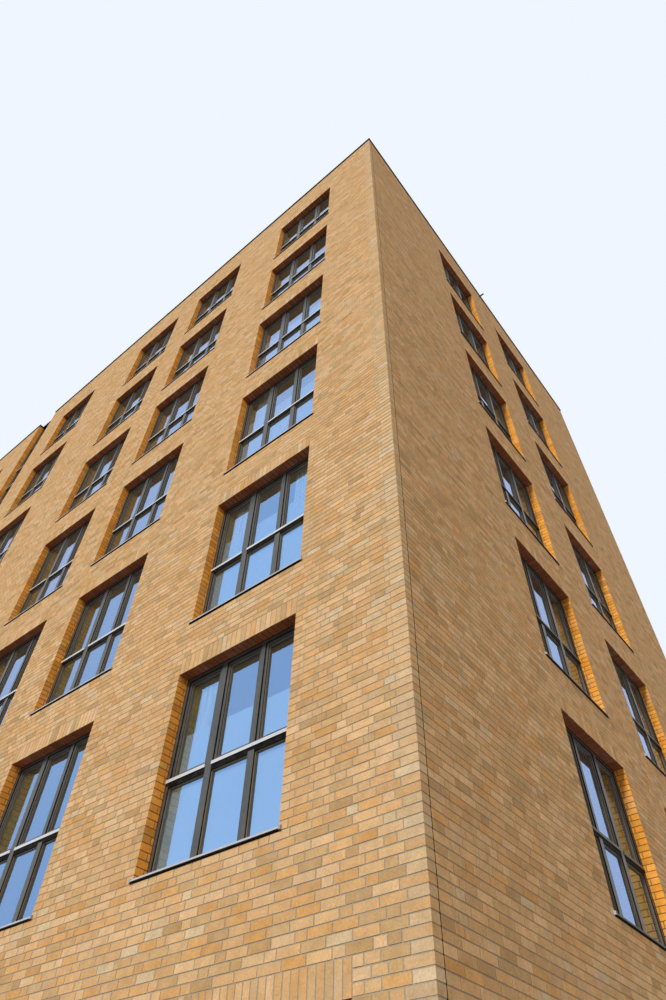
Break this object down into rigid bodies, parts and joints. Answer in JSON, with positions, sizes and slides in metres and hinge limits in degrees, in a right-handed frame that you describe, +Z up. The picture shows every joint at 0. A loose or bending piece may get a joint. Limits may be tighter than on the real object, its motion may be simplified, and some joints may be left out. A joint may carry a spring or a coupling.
{
  "type": "hotel",
  "caption": "Corner block of a city hotel in buff clinker brick with rows of deep-set three-light windows, a recessed slot beside the next bay and a flat roof behind a black-capped parapet.",
  "frame": {"origin": "under the middle of the block at pavement level, the centre of the bottom of its box, overflow spout included", "axes": "+Z up; -Y out of the street front with its four bays, slot and next bay; +X out of the side front; the plain party wall is at -X"},
  "size_m": [22.632, 12.74, 25.05],
  "materials": {
    "brick": "matt fired clay in mixed buff, straw and ochre, with light grey mortar",
    "concrete": "fair-faced concrete, painted white under the ceilings",
    "roof_covering": "grey gravel on a flat roof",
    "frame_metal": "satin grey powder coat",
    "glass": "clear sealed glazing that mirrors the sky",
    "sill_metal": "satin anodised",
    "panel_metal": "satin powder coat",
    "door_metal": "satin powder coat",
    "coping_metal": "near-black coated sheet",
    "sealant": "matt dark sealant",
    "track_metal": "white coated",
    "net": "sheer white net"
  },
  "bodies": {
    "root": {"front_wall": "brick", "next_block_wall": "brick", "side_wall": "brick", "back_wall": "brick", "party_wall": "brick", "front_ground_piers": "brick", "side_ground_piers": "brick", "ground_floor": "concrete", "first_floor": "concrete", "second_floor": "concrete", "third_floor": "concrete", "fourth_floor": "concrete", "fifth_floor": "concrete", "sixth_floor": "concrete", "slot_parapet": "concrete", "roof": "roof_covering", "front_window_frames": "frame_metal", "next_block_window_frames": "frame_metal", "side_window_frames": "frame_metal", "back_window_frames": "frame_metal", "shop_frames": "frame_metal", "entrance_doors": "frame_metal", "slot_frame": "frame_metal", "front_window_glass": "glass", "next_block_window_glass": "glass", "side_window_glass": "glass", "back_window_glass": "glass", "shop_glass": "glass", "slot_glass": "glass", "front_window_sills": "sill_metal", "next_block_window_sills": "sill_metal", "side_window_sills": "sill_metal", "back_window_sills": "sill_metal", "slot_ledges": "sill_metal", "front_drip_bars": "sill_metal", "next_block_drip_bars": "sill_metal", "side_drip_bars": "sill_metal", "back_drip_bars": "sill_metal", "slot_panels": "panel_metal", "service_door": "door_metal", "front_coping": "coping_metal", "next_block_coping": "coping_metal", "slot_coping": "coping_metal", "side_coping": "coping_metal", "back_coping": "coping_metal", "party_wall_coping": "coping_metal", "overflow_spout": "coping_metal", "movement_joint_seal": "sealant", "curtain_tracks": "track_metal", "net_curtains": "net"}
  },
  "joints": []
}
